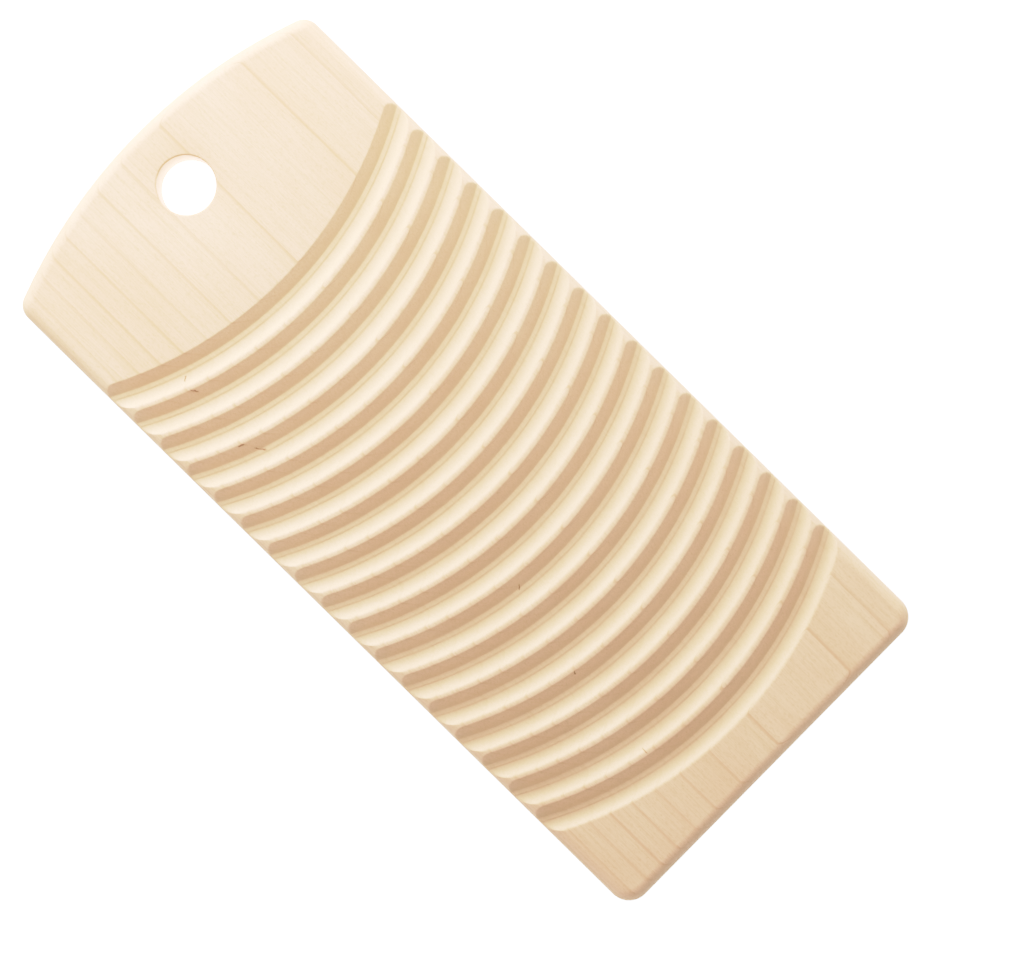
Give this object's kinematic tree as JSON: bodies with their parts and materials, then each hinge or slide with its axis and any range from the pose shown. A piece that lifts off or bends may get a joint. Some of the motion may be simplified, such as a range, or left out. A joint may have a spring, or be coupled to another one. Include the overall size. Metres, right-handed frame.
{
  "type": "washboard",
  "caption": "One-piece wooden hand washboard with curved rubbing grooves across its front face, a crowned head with a hanging hole, and rounded edges all round.",
  "frame": {"origin": "middle of the flat back face, which is the bottom centre of the bounding box", "axes": "+Z out of the grooved face, +Y along the board towards the crowned head with the hanging hole, +X to the right seen from the front with the head up"},
  "size_m": [0.161, 0.35, 0.015],
  "materials": {
    "pale_wood": "satin"
  },
  "bodies": {
    "root": {"board": "pale_wood"}
  },
  "joints": []
}
